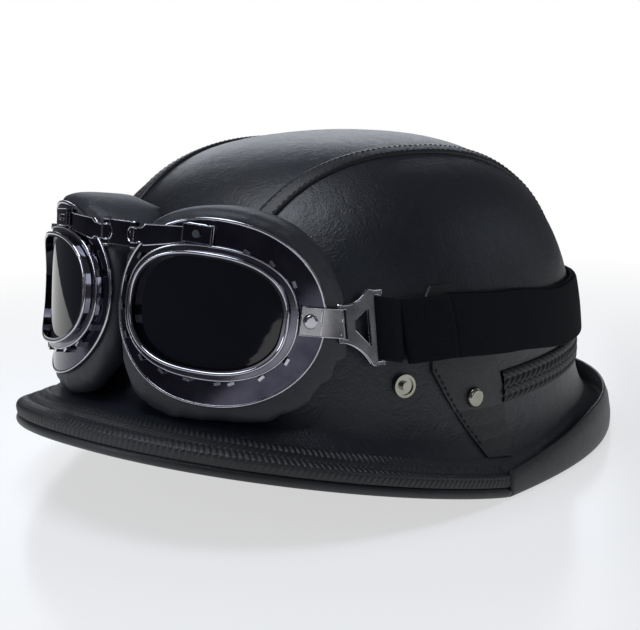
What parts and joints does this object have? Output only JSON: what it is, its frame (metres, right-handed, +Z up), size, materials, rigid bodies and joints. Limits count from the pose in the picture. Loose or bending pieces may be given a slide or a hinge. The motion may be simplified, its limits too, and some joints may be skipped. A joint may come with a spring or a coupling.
{
  "type": "motorcycle helmet",
  "caption": "Leather-covered half helmet with a peaked rim, side flaps and pilot goggles strapped round the dome.",
  "frame": {"origin": "centre of the head opening, in the plane the helmet stands on", "axes": "+Z up, -Y the way the wearer faces, +X the wearer's left"},
  "size_m": [0.242, 0.323, 0.1517],
  "materials": {
    "leather": "fine creased grain, soft satin",
    "welt_leather": "smooth satin",
    "braid": "woven leather lacing",
    "shell": "moulded",
    "foam": "expanded foam",
    "liner": "knitted",
    "nickel": "polished nickel",
    "webbing": "nylon webbing",
    "black_steel": "black satin",
    "black_plastic": "satin",
    "chrome": "bright",
    "lens": "smoked, polished",
    "pad": "soft padded",
    "strap": "elastic webbing"
  },
  "bodies": {
    "helmet": {"cover_centre": "leather", "cover_left": "leather", "cover_right": "leather", "flare_cover": "leather", "welt_left": "welt_leather", "welt_right": "welt_leather", "side_flap_left": "welt_leather", "side_flap_right": "welt_leather", "neck_band": "welt_leather", "rim_piping": "welt_leather", "front_braid": "braid", "rear_belt": "braid", "shell": "shell", "rim_edging": "shell", "foam_liner": "foam", "comfort_liner": "liner", "snap_stud_left": "nickel", "snap_stud_right": "nickel", "flap_rivet_left": "nickel", "flap_rivet_right": "nickel", "chin_anchor_left": "webbing", "chin_anchor_right": "webbing", "chin_hanger_left": "black_steel", "chin_hanger_right": "black_steel"},
    "goggles_link": {"bridge_link": "chrome", "bridge_pins": "chrome", "strap_band": "strap", "strap_tail": "strap", "strap_front_left": "strap", "strap_front_right": "strap"},
    "left_unit": {"goggle_plate_left": "chrome", "bezel_left": "chrome", "bezel_tabs_left": "chrome", "lens_left": "lens", "pad_left": "pad", "bridge_arm_left": "chrome", "arm_clip_left": "chrome", "arm_rivet_left": "chrome", "side_bracket_left": "chrome", "bracket_rivet_left": "chrome"},
    "right_unit": {"goggle_plate_right": "chrome", "bezel_right": "chrome", "bezel_tabs_right": "chrome", "lens_right": "lens", "pad_right": "pad", "bridge_arm_right": "chrome", "arm_clip_right": "chrome", "arm_rivet_right": "chrome", "side_bracket_right": "chrome", "bracket_rivet_right": "chrome"},
    "left_buckle": {"strap_buckle_left": "chrome", "strap_loop_left": "strap"},
    "right_buckle": {"strap_buckle_right": "chrome", "strap_loop_right": "strap"},
    "slider": {"strap_slider": "black_plastic"},
    "chin_left": {"chin_strap_left": "webbing", "chin_buckle_socket": "black_plastic"},
    "chin_right": {"chin_strap_right": "webbing", "chin_buckle_tongue": "black_plastic", "chin_adjuster": "black_plastic"}
  },
  "joints": [
    {"name": "goggles_lift", "type": "slide", "parent": "helmet", "child": "goggles_link", "axis": [0, 0, 1], "range_m": [0, 0.11]},
    {"name": "left_unit_turn", "type": "hinge", "parent": "goggles_link", "child": "left_unit", "pos_m": [0.0085, -0.1324, 0.1204], "axis": [0, 0.1271, 0.9919], "range_deg": [-12, 0]},
    {"name": "right_unit_turn", "type": "hinge", "parent": "goggles_link", "child": "right_unit", "pos_m": [-0.0085, -0.1324, 0.1204], "axis": [0, 0.1271, 0.9919], "range_deg": [0, 12]},
    {"name": "left_buckle_swing", "type": "hinge", "parent": "left_unit", "child": "left_buckle", "pos_m": [0.08355, -0.09196, 0.08555], "axis": [-0.132, 0.0659, 0.9891], "range_deg": [-15, 0]},
    {"name": "right_buckle_swing", "type": "hinge", "parent": "right_unit", "child": "right_buckle", "pos_m": [-0.08355, -0.09196, 0.08555], "axis": [0.132, 0.0659, 0.9891], "range_deg": [0, 15]},
    {"name": "slider_shift", "type": "hinge", "parent": "goggles_link", "child": "slider", "pos_m": [0, 0.0023, 0], "axis": [0, 0, 1], "range_deg": [-15, 15]},
    {"name": "chin_left_swing", "type": "hinge", "parent": "helmet", "child": "chin_left", "pos_m": [0.0763, -0.029, 0.0135], "axis": [1, 0, 0], "range_deg": [-95, 45]},
    {"name": "chin_right_swing", "type": "hinge", "parent": "helmet", "child": "chin_right", "pos_m": [-0.0763, -0.029, 0.0135], "axis": [1, 0, 0], "range_deg": [-95, 45]}
  ]
}
